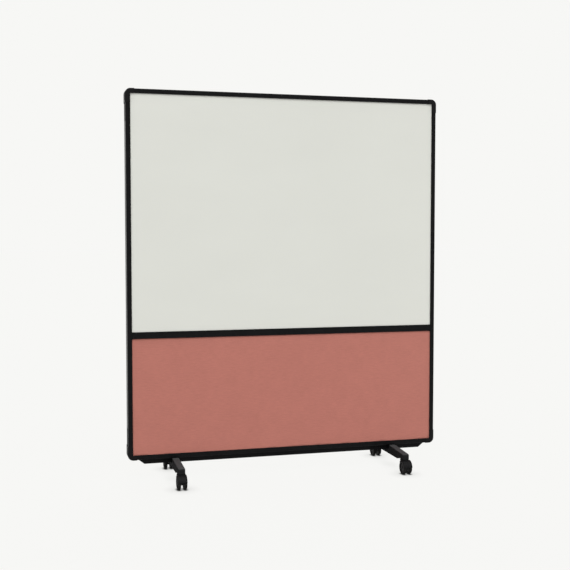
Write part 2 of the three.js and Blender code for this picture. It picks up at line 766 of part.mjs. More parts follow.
function addBase() {
  place(partition, 'under_beam', underBeam(), blackAluminium);
  for (const [name, side] of [['left', -1], ['right', 1]]) {
    const x = side * footPlace;
    place(partition, `foot_${name}`, foot(), castBlack, [x, 0, 0]);
    const spread = boltSpacing / 2;
    place(partition, `foot_bolt_${name}_outer`, footBolt(), zincSteel, [x + side * spread, 0, 0]);
    place(partition, `foot_bolt_${name}_inner`, footBolt(), zincSteel, [x - side * spread, 0, 0]);
  }
}

function addCaster(name, side, end) {
  const turn = end < 0 ? 0 : Math.PI;
  const group = addGroup([side * footPlace, end * stemReach, 0], [0, 0, turn]);
  place(group, `caster_stem_${name}`, casterStem(), blackSteel);
  place(group, `caster_body_${name}`, casterBody(), blackMoulding);
  place(group, `caster_axle_${name}`, casterAxle(), zincSteel);
  const axle = [0, -casterTrail, wheelRadius];
  for (const [which, across] of [['a', 0], ['b', Math.PI]]) {
    place(group, `wheel_${name}_${which}`, casterWheel(), wheelNylon, axle, [0, 0, across]);
    place(group, `tyre_${name}_${which}`, casterTyre(), tyreRubber, axle, [0, 0, across]);
  }
}

addFrame();
addPanels();
addBase();
addCaster('front_left', -1, -1);
addCaster('front_right', 1, -1);
addCaster('back_left', -1, 1);
addCaster('back_right', 1, 1);

export default partition;
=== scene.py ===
"""Rolling partition: fabric, smooth castings and casters, materials and a studio
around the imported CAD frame. Metres, +Z up, the front of the partition at -Y."""

import json
import math

import bmesh
import bpy
from mathutils import Matrix, Vector, noise


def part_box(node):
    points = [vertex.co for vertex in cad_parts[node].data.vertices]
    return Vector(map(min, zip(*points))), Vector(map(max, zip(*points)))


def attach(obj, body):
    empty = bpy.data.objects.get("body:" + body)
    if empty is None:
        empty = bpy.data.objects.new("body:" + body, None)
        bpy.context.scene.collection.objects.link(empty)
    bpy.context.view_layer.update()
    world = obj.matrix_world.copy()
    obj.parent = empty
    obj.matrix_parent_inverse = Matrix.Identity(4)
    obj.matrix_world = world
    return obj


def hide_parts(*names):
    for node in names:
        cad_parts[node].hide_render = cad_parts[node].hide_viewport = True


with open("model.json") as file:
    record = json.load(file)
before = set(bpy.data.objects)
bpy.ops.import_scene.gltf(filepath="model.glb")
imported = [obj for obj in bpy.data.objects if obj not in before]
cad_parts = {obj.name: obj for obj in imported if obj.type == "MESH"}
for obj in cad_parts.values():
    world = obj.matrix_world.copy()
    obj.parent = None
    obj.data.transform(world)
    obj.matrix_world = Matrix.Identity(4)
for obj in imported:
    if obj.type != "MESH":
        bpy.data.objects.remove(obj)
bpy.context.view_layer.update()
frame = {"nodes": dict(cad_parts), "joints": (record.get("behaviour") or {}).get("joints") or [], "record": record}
NODES = frame["nodes"]
JOINTS = {joint["name"]: Vector(joint["pos_m"]) for joint in frame["joints"]}
MM = 0.001
CASTERS = ("front_left", "front_right", "back_left", "back_right")


def linked(name, data):
    """A new object in the scene."""
    made = bpy.data.objects.new(name, data)
    bpy.context.scene.collection.objects.link(made)
    return made


# ---------------------------------------------------------------- camera

CAMERA_PLACE = (-1.2402, -4.5222, 1.1592)
CAMERA_DOWN = 3.0501  # degrees
CAMERA_RIGHT = 15.3016
CAMERA_LENS = 61.4
SENSOR_WIDTH = 36
CLIP_END = 200


def make_camera():
    data = bpy.data.cameras.new("camera")
    data.lens = CAMERA_LENS
    data.sensor_width = SENSOR_WIDTH
    data.clip_end = CLIP_END
    camera = linked("camera", data)
    camera.location = CAMERA_PLACE
    camera.rotation_euler = (math.radians(90 - CAMERA_DOWN), 0, math.radians(-CAMERA_RIGHT))
    bpy.context.scene.camera = camera


# ---------------------------------------------------------------- node helpers

NOISE_LOW = 0.3  # nearly all of a noise lies between these
NOISE_HIGH = 0.7


def feed(tree, target, value):
    """Joins a socket to the target, or sets a plain value on it."""
    if isinstance(value, bpy.types.NodeSocket):
        tree.links.new(value, target)
    else:
        target.default_value = value


def add(tree, kind, inputs=None, **settings):
    """A new node, its inputs given by name or number as a socket or a plain value."""
    made = tree.nodes.new(kind)
    for key, value in settings.items():
        setattr(made, key, value)
    for key, value in (inputs or {}).items():
        feed(tree, made.inputs[key], value)
    return made


def ramp(tree, value, start, end, curve="LINEAR"):
    """The value carried from the range start to the range end, and kept inside it."""
    inputs = {
        "Value": value,
        "From Min": start[0],
        "From Max": start[1],
        "To Min": end[0],
        "To Max": end[1],
    }
    return add(tree, "ShaderNodeMapRange", inputs, interpolation_type=curve).outputs["Result"]


class Shader:
    """A material with short ways to feed its Principled shader."""

    def __init__(self, name):
        self.material = bpy.data.materials.new(name)
        self.material.use_nodes = True
        self.tree = self.material.node_tree
        self.bsdf = self.tree.nodes["Principled BSDF"]
        coordinates = add(self.tree, "ShaderNodeTexCoord")
        self.place = coordinates.outputs["Object"]
        self.facing = coordinates.outputs["Normal"]
        self.bumps = None

    def axes(self, vector):
        """The X, Y and Z of a vector, by name."""
        return add(self.tree, "ShaderNodeSeparateXYZ", {0: vector}).outputs

    def noise(self, size, detail=2.0, stretch=(1, 1, 1)):
        """Noise whose spots are about that many metres across."""
        scale = [1 / (size * s) for s in stretch]
        mapping = add(self.tree, "ShaderNodeMapping", {"Scale": scale, "Vector": self.place})
        inputs = {"Scale": 1.0, "Detail": detail, "Vector": mapping.outputs["Vector"]}
        return add(self.tree, "ShaderNodeTexNoise", inputs).outputs["Fac"]

    def scuffs(self):
        """Rubs and scratches on metal, longer upwards than across."""
        return self.noise(9 * MM, detail=5, stretch=(1, 1, 3))

    def math(self, operation, a, b=0.0):
        return add(self.tree, "ShaderNodeMath", {0: a, 1: b}, operation=operation).outputs[0]

    def spread(self, value, low, high):
        """A noise spread over low to high."""
        return ramp(self.tree, value, (NOISE_LOW, NOISE_HIGH), (low, high))

    def tones(self, value, dark, light):
        """A colour between two tones, by a value from 0 to 1."""
        inputs = {0: value, 6: (*dark, 1), 7: (*light, 1)}
        return add(self.tree, "ShaderNodeMix", inputs, data_type="RGBA").outputs[2]

    def set(self, **inputs):
        for name, value in inputs.items():
            feed(self.tree, self.bsdf.inputs[name.replace("_", " ")], value)

    def bump(self, height, depth, strength=1.0):
        """height from 0 to 1 stands for depth metres; bumps pile up."""
        inputs = {"Strength": strength, "Distance": depth, "Height": height}
        if self.bumps is not None:
            inputs["Normal"] = self.bumps
        self.bumps = add(self.tree, "ShaderNodeBump", inputs).outputs["Normal"]
        self.set(Normal=self.bumps)


# ---------------------------------------------------------------- colours

def shade(color, by):
    return tuple(channel * by for channel in color)


def linear(value):
    """The linear light of an 8-bit display value."""
    value /= 255
    return value / 12.92 if value <= 0.04045 else ((value + 0.055) / 1.055) ** 2.4


BACKGROUND = (linear(247), linear(247), linear(245))
BLACK = (0.0052, 0.0052, 0.0056)
STRIP_GREY = (0.035, 0.035, 0.035)
OXIDE_BLACK = (0.008, 0.008, 0.009)
ZINC = ((0.5, 0.51, 0.53), (0.68, 0.69, 0.7))  # from dark to light
PRESSED_FIBRE = ((0.34, 0.25, 0.16), (0.56, 0.44, 0.3))
CASTING = (0.016, 0.016, 0.0165)
# paler tone painted on the casting's upward faces, standing in for light from above
CASTING_PAINTED_TOP_LIGHT = (0.056, 0.056, 0.057)
RUBBER = (0.006, 0.006, 0.006)
RUBBER_DUST = (0.016, 0.0155, 0.015)
BOARD = (linear(220), linear(221), linear(214))
FABRIC = (linear(184), linear(117.5), linear(105.5))


# ---------------------------------------------------------------- materials

def powder_coat(name, color, roughness, specular, grain):
    """Satin black over metal: fine orange peel, and a sheen that is a little uneven."""
    made = Shader(name)
    patches = made.spread(made.noise(60 * MM), 0.85, 1.2)
    wear = made.spread(made.scuffs(), 0, 1)
    made.set(
        Base_Color=made.tones(wear, shade(color, 0.8), shade(color, 1.3)),
        Roughness=made.math("MULTIPLY", patches, roughness),
        Specular_IOR_Level=specular,
    )
    made.bump(made.noise(grain), 0.012 * MM)
    return made.material


def casting_with_painted_top_light(name, color, dust):
    """Rough black casting; faces that look up are painted paler as light from above, patchy with scuff noise."""
    made = Shader(name)
    tilt = made.axes(made.facing)["Z"]
    upward = ramp(made.tree, tilt, (0.35, 0.95), (0, 1), "SMOOTHSTEP")
    # painted light: faces turned up get the paler colour, as if lit from above, patchy with scuff noise
    painted_top_light = made.math("MULTIPLY", upward, made.spread(made.scuffs(), 0.75, 1.0))
    made.set(
        Base_Color=made.tones(painted_top_light, color, dust),
        Roughness=made.spread(made.noise(60 * MM), 0.66, 0.84),
        Specular_IOR_Level=0.01,
    )
    made.bump(made.noise(1.3 * MM), 0.02 * MM)
    made.bump(made.noise(6 * MM, detail=3), 0.06 * MM)
    return made.material


def moulding(name, color, roughness, specular, grain=0.5 * MM):
    """Moulded plastic with a spark-eroded skin."""
    made = Shader(name)
    patches = made.spread(made.noise(25 * MM), 0.9, 1.12)
    mottle = made.spread(made.noise(4 * MM), 0, 1)
    made.set(
        Base_Color=made.tones(mottle, shade(color, 0.85), shade(color, 1.2)),
        Roughness=made.math("MULTIPLY", patches, roughness),
        Specular_IOR_Level=specular,
    )
    made.bump(made.noise(grain, detail=3), 0.02 * MM)
    return made.material


def enamel():
    """The whiteboard's steel face: glossy, nearly even, with faint wiping haze."""
    made = Shader("whiteboard_enamel")
    haze = made.noise(240 * MM, detail=4, stretch=(2.4, 1, 1))
    made.set(
        Base_Color=made.tones(made.spread(haze, 0, 1), shade(BOARD, 0.985), shade(BOARD, 1.01)),
        Roughness=made.spread(haze, 0.3, 0.42),
        Specular_IOR_Level=0.25,
        Coat_Weight=0.06,
        Coat_Roughness=0.2,
    )
    made.bump(made.noise(14 * MM), 0.01 * MM)
    return made.material


THREAD = 1.1 * MM  # pitch of the weave
THREAD_DEPTH = 0.16 * MM
FIBRE_SHARE = 0.15  # what each adds to the cloth's tone
SLUB_SHARE = 0.25
MOTTLE_SHARE = 0.15
# the weave's share is painted shade: each thread lighter on its crown and darker towards the gaps
WEAVE_SHADE_SHARE = 0.45


def cloth():
    """Plain weave: warp and weft pass over each other in turn, in two near tones; the threads' relief is also
    painted as shade, darker in the gaps between them.
    """
    made = Shader("salmon_fabric")
    wobble = made.math("MULTIPLY", made.noise(12 * MM), 0.35 * THREAD)
    place = made.axes(made.place)
    angles = [
        made.math("MULTIPLY", made.math("ADD", place[axis], wobble), math.pi / THREAD)
        for axis in ("X", "Z")
    ]
    warp, weft = [made.math("ABSOLUTE", made.math("SINE", angle)) for angle in angles]
    crossings = [made.math("SINE", made.math("ADD", angle, math.pi / 2)) for angle in angles]
    weft_on_top = made.math("GREATER_THAN", made.math("MULTIPLY", *crossings), 0.0)
    inputs = {0: weft_on_top, 2: warp, 3: weft}
    weave = add(made.tree, "ShaderNodeMix", inputs, data_type="FLOAT").outputs[0]
    fibres = made.noise(0.7 * MM, detail=4, stretch=(6, 1, 1))
    slubs = made.noise(7 * MM, detail=5, stretch=(4, 1, 0.8))
    mottle = made.noise(55 * MM, detail=4)
    # painted shade: the colour follows the threads' relief, darkest in the gaps between threads
    tone = made.math("MULTIPLY", weave, WEAVE_SHADE_SHARE)
    for pattern, share in ((fibres, FIBRE_SHARE), (slubs, SLUB_SHARE), (mottle, MOTTLE_SHARE)):
        part = made.math("MULTIPLY", made.spread(pattern, 0, 1), share)
        tone = made.math("ADD", tone, part)
    made.set(
        Base_Color=made.tones(tone, shade(FABRIC, 0.8), shade(FABRIC, 1.16)),
        Roughness=0.92,
        Specular_IOR_Level=0.15,
        Sheen_Weight=0.12,
        Sheen_Roughness=0.5,
    )
    made.bump(weave, THREAD_DEPTH, 0.8)
    made.bump(mottle, 0.3 * MM, 0.3)
    return made.material


def plated_steel():
    """Bright zinc on small screws and nuts."""
    made = Shader("zinc_plated_steel")
    made.set(
        Base_Color=made.tones(made.spread(made.noise(3 * MM), 0, 1), *ZINC),
        Metallic=1.0,
        Roughness=made.spread(made.noise(1.5 * MM), 0.28, 0.42),
    )
    return made.material


def core_board():
    """Pressed fibre inside the panels."""
    made = Shader("core_board")
    chips = made.noise(3 * MM, detail=6, stretch=(2, 1, 1))
    made.set(Base_Color=made.tones(made.spread(chips, 0, 1), *PRESSED_FIBRE), Roughness=0.9)
    made.bump(chips, 0.2 * MM)
    return made.material


def rubber():
    """Soft tread: matt, with dust caught in it."""
    made = Shader("tread_rubber")
    dust = made.noise(6 * MM, detail=6)
    made.set(
        Base_Color=made.tones(made.spread(dust, 0, 1), RUBBER, RUBBER_DUST),
        Roughness=made.spread(dust, 0.62, 0.82),
        Specular_IOR_Level=0.1,
    )
    made.bump(made.noise(0.8 * MM, detail=3), 0.05 * MM)
    return made.material


MATERIALS = {
    "black_frame": powder_coat("black_frame", BLACK, 0.3, 0.07, grain=0.9 * MM),
    "black_moulding": moulding("black_moulding", BLACK, 0.55, 0.1),
    "edge_strip": moulding("edge_strip", STRIP_GREY, 0.4, 0.2, grain=1.4 * MM),
    "zinc_steel": plated_steel(),
    "black_steel": powder_coat("black_steel", OXIDE_BLACK, 0.35, 0.3, grain=0.5 * MM),
    "white_enamel": enamel(),
    "salmon_fabric": cloth(),
    "board_core": core_board(),
    "cast_foot": casting_with_painted_top_light("cast_foot", CASTING, CASTING_PAINTED_TOP_LIGHT),
    "wheel_nylon": moulding("wheel_nylon", BLACK, 0.5, 0.1),
    "tyre_rubber": rubber(),
}


# ---------------------------------------------------------------- mesh helpers

ALONG_X = Matrix(((0, 0, 1), (1, 0, 0), (0, 1, 0)))  # an axis drawn along Z, laid on X
UPRIGHT = Matrix.Identity(3)
MERGE = 1e-6  # points of a lathe on its own axis are closer than this


def new_piece(name, mesh, slot, body):
    piece = linked(name, mesh)
    mesh.materials.clear()
    mesh.materials.append(MATERIALS[slot])
    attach(piece, body)
    return piece


def mesh_from(bm, name="mesh"):
    bmesh.ops.recalc_face_normals(bm, faces=bm.faces)
    mesh = bpy.data.meshes.new(name)
    bm.to_mesh(mesh)
    bm.free()
    return mesh


def skin(bm, rings):
    """Quads between neighbouring rings of vertices."""
    for a, b in zip(rings, rings[1:]):
        for i in range(len(a)):
            j = (i + 1) % len(a)
            bm.faces.new((a[i], a[j], b[j], b[i]))


def lathe(profile, turn, centre, segments=72):
    """A closed profile of (radius, place along the axis); turn brings +Z to the axis."""
    bm = bmesh.new()
    rings = []
    for i in range(segments):
        spin = Matrix.Rotation(math.tau * i / segments, 3, "Z")
        ring = [turn @ (spin @ Vector((radius, 0, place))) + centre for radius, place in profile]
        rings.append([bm.verts.new(point) for point in ring])
    skin(bm, [*rings, rings[0]])
    bmesh.ops.remove_doubles(bm, verts=bm.verts, dist=MERGE)
    return mesh_from(bm)


def rod(radius, start, end, turn, centre, segments=32):
    profile = [(0, start), (radius, start), (radius, end), (0, end)]
    return lathe(profile, turn, centre, segments)


def capped(outlines):
    """A closed mesh through outlines of as many points each, with flat ends."""
    bm = bmesh.new()
    rings = [[bm.verts.new(point) for point in outline] for outline in outlines]
    skin(bm, rings)
    bm.faces.new(list(reversed(rings[0])))
    bm.faces.new(rings[-1])
    return mesh_from(bm)


def slab(outlines, places):
    """Sections in Y and Z, one at each place along X."""
    return capped([[(x, y, z) for y, z in outline] for outline, x in zip(outlines, places)])


def box_mesh(low, high):
    outline = [(low[1], low[2]), (high[1], low[2]), (high[1], high[2]), (low[1], high[2])]
    return slab([outline, outline], [low[0], high[0]])


def quarter(steps):
    """Angles over a quarter turn, ends included."""
    return [math.radians(90 * i / steps) for i in range(steps + 1)]


def arc(centre, radius, start, end, steps):
    """Points on an arc, in degrees, ends included."""
    angles = [math.radians(start + (end - start) * i / steps) for i in range(steps + 1)]
    return [(centre[0] + radius * math.cos(t), centre[1] + radius * math.sin(t)) for t in angles]


def boolean(mesh, tool, operation):
    """The first mesh joined with or cut by the second."""
    a = linked("a", mesh)
    b = linked("b", tool)
    modifier = a.modifiers.new("boolean", "BOOLEAN")
    modifier.operation = operation
    modifier.solver = "EXACT"
    modifier.object = b
    graph = bpy.context.evaluated_depsgraph_get()
    result = bpy.data.meshes.new_from_object(a.evaluated_get(graph))
    bpy.data.objects.remove(a)
    bpy.data.objects.remove(b)
    return result


def join(mesh, other):
    return boolean(mesh, other, "UNION")


def cut(mesh, tool):
    return boolean(mesh, tool, "DIFFERENCE")


def placed(mesh, matrix):
    copy = mesh.copy()
    copy.transform(matrix)
    return copy


# ---------------------------------------------------------------- soft edges

CREASE = math.radians(38)  # faces that meet at more than this aren't shaded as one


def smooth_group():
    """A modifier's node group: smooth faces, sharp where they meet in a crease."""
    group = bpy.data.node_groups.new("smooth_by_angle", "GeometryNodeTree")
    for way in ("INPUT", "OUTPUT"):
        group.interface.new_socket("Geometry", in_out=way, socket_type="NodeSocketGeometry")
    start = add(group, "NodeGroupInput")
    faces = add(group, "GeometryNodeSetShadeSmooth", {"Geometry": start.outputs[0]})
    angle = add(group, "GeometryNodeInputMeshEdgeAngle").outputs["Unsigned Angle"]
    compare = {"data_type": "FLOAT", "operation": "GREATER_THAN"}
    crease = add(group, "FunctionNodeCompare", {0: angle, 1: CREASE}, **compare)
    inputs = {
        "Geometry": faces.outputs[0],
        "Selection": crease.outputs[0],
        "Shade Smooth": False,
    }
    edges = add(group, "GeometryNodeSetShadeSmooth", inputs, domain="EDGE")
    add(group, "NodeGroupOutput", {0: edges.outputs[0]})
    return group


SMOOTH = smooth_group()


def shade_smooth(piece):
    piece.modifiers.new("smooth", "NODES").node_group = SMOOTH


def soften(piece, width):
    """Rounds the crisp edges by width metres, and shades the rest smooth."""
    bevel = piece.modifiers.new("edges", "BEVEL")
    bevel.width = width
    bevel.segments = 2
    bevel.limit_method = "ANGLE"
    bevel.angle_limit = CREASE
    bevel.miter_outer = "MITER_ARC"
    shade_smooth(piece)
    normals = piece.modifiers.new("normals", "WEIGHTED_NORMAL")
    normals.keep_sharp = True
    normals.weight = 80


# ---------------------------------------------------------------- CAD nodes

EDGE_WIDTH = {  # the first word that is in a node's name counts
    "stile": 0.25 * MM,
    "rail": 0.25 * MM,
    "strip": 0.25 * MM,
    "cap_screw": 0.2 * MM,
    "corner_cap": 0.35 * MM,
    "whiteboard": 0.15 * MM,
    "core": 0.3 * MM,
    "under_beam": 0.5 * MM,
    "foot_bolt": 0.3 * MM,
    "axle": 0.3 * MM,
    "stem": 0.3 * MM,
}
WELD = 0.01 * MM


def dress_nodes():
    """Gives every CAD node its slot's material, and the rigid ones that show soft edges."""
    slots = {row["node"]: row["material_slot"] for row in frame["record"]["subparts"]}
    for name, node in NODES.items():
        node.data.materials.clear()
        node.data.materials.append(MATERIALS[slots[name]])
        node.modifiers.new("weld", "WELD").merge_threshold = WELD
        widths = [width for key, width in EDGE_WIDTH.items() if key in name]
        if widths:
            soften(node, widths[0])


# ---------------------------------------------------------------- fabric

PANEL_REBATE = 0.6 * MM
FIELD_GAP = 0.4 * MM  # from the cloth's edge to the lips and the corner caps
CAP_INNER_RADIUS = 2.5 * MM
CLOTH_ROUND = 0.3 * MM  # slope of the cloth over the board's edge
CLOTH_SINK = 0.12 * MM  # how far it lies below the board's face at most
PULLS = 9  # waves of that sinking in a metre, roughly
SIDE_SHIFT = 3.0  # keeps the two sides from being alike
COLUMNS = 190
ROWS = 72


def stretched_fabric(side, outward):
    """Cloth pulled flat over the tack board and turned in at its edges."""
    board = f"tack_panel_{side}"
    low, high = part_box(board)
    face = low.y if outward < 0 else high.y
    depth = high.y - low.y
    half = -(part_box("left_stile")[1].x + FIELD_GAP)
    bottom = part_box("bottom_rail")[1].z + FIELD_GAP
    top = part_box("mid_rail")[0].z - FIELD_GAP
    middle = (bottom + top) / 2
    tall = (top - bottom) / 2

    def corner_in(x, z):
        """Pulls a point of the outline in, clear of the round corners of the caps."""
        inner_x = half - CAP_INNER_RADIUS
        inner_z = tall - CAP_INNER_RADIUS
        out_x = abs(x) - inner_x
        out_z = abs(z - middle) - inner_z
        if out_x <= 0 or out_z <= 0:
            return x, z
        scale = max(out_x, out_z) / math.hypot(out_x, out_z)
        return (
            math.copysign(inner_x + out_x * scale, x),
            middle + math.copysign(inner_z + out_z * scale, z - middle),
        )

    bm = bmesh.new()
    grid = {}
    for i in range(COLUMNS + 1):
        for j in range(ROWS + 1):
            x = half * (2 * i / COLUMNS - 1)
            z = bottom + 2 * tall * j / ROWS
            pull = noise.noise(Vector((x * PULLS, outward * SIDE_SHIFT, z * PULLS)))
            sink = CLOTH_SINK * (0.5 + 0.5 * pull)
            x, z = corner_in(x, z)
            grid[i, j] = bm.verts.new((x, face - outward * sink, z))
    for i in range(COLUMNS):
        for j in range(ROWS):
            bm.faces.new((grid[i, j], grid[i + 1, j], grid[i + 1, j + 1], grid[i, j + 1]))
    rim = [
        *[grid[i, 0] for i in range(COLUMNS)],
        *[grid[COLUMNS, j] for j in range(ROWS)],
        *[grid[i, ROWS] for i in range(COLUMNS, 0, -1)],
        *[grid[0, j] for j in range(ROWS, 0, -1)],
    ]

    def ring_at(half_x, half_z, centre_z, back):
        """The rim's points moved out to a rectangle, so far behind the face."""
        ring = []
        for v in rim:
            x = v.co.x * half_x / half
            z = centre_z + (v.co.z - middle) * half_z / tall
            ring.append(bm.verts.new((x, face - outward * back, z)))
        return ring

    field = (half, tall, middle)
    edge = (high.x, (high.z - low.z) / 2, (high.z + low.z) / 2)
    rings = [
        ring_at(*field, CLOTH_ROUND),
        ring_at(*field, PANEL_REBATE),
        ring_at(*edge, PANEL_REBATE),
        ring_at(*edge, depth),
    ]
    skin(bm, [rim, *rings])
    for v in rim:
        v.co.x *= 1 - CLOTH_ROUND / half
        v.co.z = middle + (v.co.z - middle) * (1 - CLOTH_ROUND / tall)
    piece = new_piece(f"tack_fabric_{side}", mesh_from(bm), "salmon_fabric", "partition")
    shade_smooth(piece)
    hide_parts(board)


# ---------------------------------------------------------------- feet

SEAT = 0.3 * MM  # gap between pieces that touch
FOOT_ROUND = 6 * MM  # of the upper edges
FOOT_TIP_RADIUS = 10 * MM
FOOT_TIP_SWEEP = 88  # degrees of the tip's arc
FOOT_TAPER = 8.7 * MM  # from the level middle down to the tip
FOOT_CREST_HALF = 36 * MM
FOOT_OVER_CASTER = 26.9 * MM  # height of the tip
FOOT_SWIVEL_REACH = 51 * MM  # from the stem's axis to where the underside rises
FOOT_SWIVEL_RUN = 9 * MM
FOOT_POCKET_MARGIN = 15 * MM
FOOT_RIB = 5 * MM
FOOT_SIDE = 4.5 * MM
FOOT_SKIN = 5 * MM
FOOT_POCKETS = 3  # in each arm
BOLT_SINK = 8 * MM


def foot_mesh():
    """One foot, across the beam along Y, with its middle at X = 0."""
    low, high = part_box("foot_left")
    beam_low, beam_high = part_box("under_beam")
    tip, crest, bottom = high.y, high.z, low.z
    half = (high.x - low.x) / 2
    tip_top = crest - FOOT_TAPER
    over_caster = tip_top - FOOT_OVER_CASTER
    stem = JOINTS["swivel_back_left"].y
    deep = bottom - 2 * FOOT_ROUND  # below all of the foot

    def outline(inset):
        """The foot from the side, with its top and tips drawn in by inset."""
        centre = (tip - FOOT_TIP_RADIUS, tip_top - FOOT_TIP_RADIUS)
        right = arc(centre, FOOT_TIP_RADIUS - inset, 0, FOOT_TIP_SWEEP, 8)
        left = [(-y, z) for y, z in reversed(right)]
        crown = [(FOOT_CREST_HALF, crest - inset), (-FOOT_CREST_HALF, crest - inset)]
        return [(tip - inset, deep), *right, *crown, *left, (inset - tip, deep)]

    angles = quarter(6)
    insets = [FOOT_ROUND * (1 - math.sin(t)) for t in angles]
    places = [-half + FOOT_ROUND * (1 - math.cos(t)) for t in angles]
    insets += list(reversed(insets))
    places += [-p for p in reversed(places)]
    body = slab([outline(i) for i in insets], places)

    wide = 2 * half
    far = tip + wide
    start = stem - FOOT_SWIVEL_REACH
    rise = start + FOOT_SWIVEL_RUN
    under = [
        (-far, deep - wide), (far, deep - wide), (far, over_caster), (rise, over_caster),
        (start, bottom), (-start, bottom), (-rise, over_caster), (-far, over_caster),
    ]
    body = cut(body, slab([under, under], [-wide, wide]))
    beam_half = beam_high.y
    saddle_low = (-wide, -beam_half - SEAT, beam_low.z - SEAT)
    body = cut(body, box_mesh(saddle_low, (wide, beam_half + SEAT, crest + wide)))

    first = beam_half + FOOT_POCKET_MARGIN
    pitch = (start - first) / FOOT_POCKETS
    run = tip - FOOT_TIP_RADIUS - FOOT_CREST_HALF
    reach = half - FOOT_SIDE
    for i in range(FOOT_POCKETS):
        near = first + i * pitch
        ends = (near, near + pitch - FOOT_RIB)
        roofs = [
            crest - max(0, y - FOOT_CREST_HALF) * FOOT_TAPER / run - FOOT_SKIN for y in ends
        ]
        for way in (1, -1):
            a, b = way * ends[0], way * ends[1]
            pocket = [(a, deep), (b, deep), (b, roofs[1]), (a, roofs[0])]
            body = cut(body, slab([pocket, pocket], [-reach, reach]))

    bolt_low, bolt_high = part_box("foot_bolt_left_inner")
    bolt_place = abs((bolt_low.x + bolt_high.x) / 2 - (low.x + high.x) / 2)
    radius = (bolt_high.x - bolt_low.x) / 2 + SEAT
    roof = bottom + BOLT_SINK
    sink = [(0, deep), (radius, deep), (radius, roof), (0, roof)]
    for way in (-1, 1):
        body = cut(body, lathe(sink, UPRIGHT, Vector((way * bolt_place, 0, 0)), 32))
    return body


def make_feet():
    casting = foot_mesh()
    for side in ("left", "right"):
        name = f"foot_{side}"
        low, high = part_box(name)
        mesh = placed(casting, Matrix.Translation(((low.x + high.x) / 2, 0, 0)))
        piece = new_piece(f"casting_{side}", mesh, "cast_foot", "partition")
        soften(piece, 0.5 * MM)
        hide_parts(name)


# ---------------------------------------------------------------- casters

TRAIL = 18 * MM  # from the stem's axis to the axle
HOOD_GAP = 1 * MM
HOOD_WALL = 2 * MM
HOOD_START = 36  # degrees up from the floor's level, on the stem's side
HOOD_END = 172
HOOD_CROWN = 2.5 * MM  # width and drop of the hood's rounded edges
HOOD_DROP = 1.6 * MM
WEB_INSET = 1 * MM  # from the tread to the edge of the web between the wheels
WEB_BOTTOM = 5.5 * MM
WEB_HALF = 6.6 * MM
HOUSING_RADIUS = 20.4 * MM  # the swivel's housing on top of the hood
HOUSING_HEIGHT = 9 * MM
HOUSING_RIM = 1.8 * MM  # its rim stands round the stem's collar
HOUSING_CHAMFER = 1 * MM
HOUSING_ROUND = (1.2 * MM, 0.4 * MM)  # the two steps of its rounded upper edge
COLLAR_ROOM = 16.4 * MM
JOURNAL_BORE = 4.3 * MM
JOURNAL_LENGTH = 31 * MM
AXLE_BORE = 3.3 * MM


def caster_body_mesh(wheel_radius, half_width):
    """Hood, web and housing round the axle at the origin; the wheels trail towards -Y."""
    inner = wheel_radius + HOOD_GAP
    outer = inner + HOOD_WALL
    shoulder = [
        (outer - HOOD_DROP * (1 - math.cos(t)), half_width - HOOD_CROWN * (1 - math.sin(t)))
        for t in quarter(5)
    ]
    section = [
        (inner, half_width),
        *reversed(shoulder),
        *[(r, -x) for r, x in shoulder],
        (inner, -half_width),
    ]
    steps = 40
    turns = [
        math.radians(HOOD_START + (HOOD_END - HOOD_START) * i / steps) for i in range(steps + 1)
    ]
    hood = capped([[(x, r * math.cos(t), r * math.sin(t)) for r, x in section] for t in turns])

    web_radius = wheel_radius - WEB_INSET
    low = math.degrees(math.asin(WEB_BOTTOM / web_radius))
    in_hood = outer - HOOD_WALL / 2
    outline = [
        *arc((0, 0), web_radius, -low, HOOD_START, 10),
        *arc((0, 0), in_hood, HOOD_START, HOOD_END, 30),
        *arc((0, 0), web_radius, HOOD_END, 180 + low, 8),
    ]
    body = join(hood, slab([outline, outline], [-WEB_HALF, WEB_HALF]))

    stem = Vector((0, TRAIL, 0))
    rim = outer + HOUSING_RIM
    edge = rim - HOUSING_HEIGHT
    wide, narrow = HOUSING_ROUND
    profile = [
        (0, edge),
        (HOUSING_RADIUS - HOUSING_CHAMFER, edge),
        (HOUSING_RADIUS, edge + HOUSING_CHAMFER),
        (HOUSING_RADIUS, rim - wide),
        (HOUSING_RADIUS - narrow, rim - narrow),
        (HOUSING_RADIUS - wide, rim),
        (COLLAR_ROOM, rim),
        (COLLAR_ROOM, outer),
        (0, outer),
    ]
    housing = lathe(profile, UPRIGHT, stem, 64)
    housing = cut(housing, rod(in_hood, -wheel_radius, wheel_radius, ALONG_X, Vector(), 96))
    body = join(body, housing)
    body = cut(body, rod(JOURNAL_BORE, outer - JOURNAL_LENGTH, 2 * outer, UPRIGHT, stem))
    return cut(body, rod(AXLE_BORE, -half_width, half_width, ALONG_X, Vector()))


TYRE_DEPTH = 4.1 * MM
TYRE_SHOULDER = 6 * MM  # width and drop of the tread's rounded outer edge
TYRE_SHOULDER_DROP = 2.6 * MM
HUB_RADIUS = 8.2 * MM
HUB_PAST = 0.7 * MM  # the hub stands out on the wheel's inner side
WHEEL_HOLLOW = 2.9 * MM  # on that side
RIM_BAND = 2.5 * MM
RIM_EDGE = 0.5 * MM
RIM_INSET = 0.6 * MM
CAP_RADIUS = 6 * MM
CAP_FOOT = 2.2 * MM  # the domed hub cap, below the tyre's side
CAP_RISE = 0.9 * MM
DISH_WIDTH = 5 * MM  # from the rim in to the dish
DISH_DEPTH = 4.4 * MM
BORE_DEPTH = 4.2 * MM


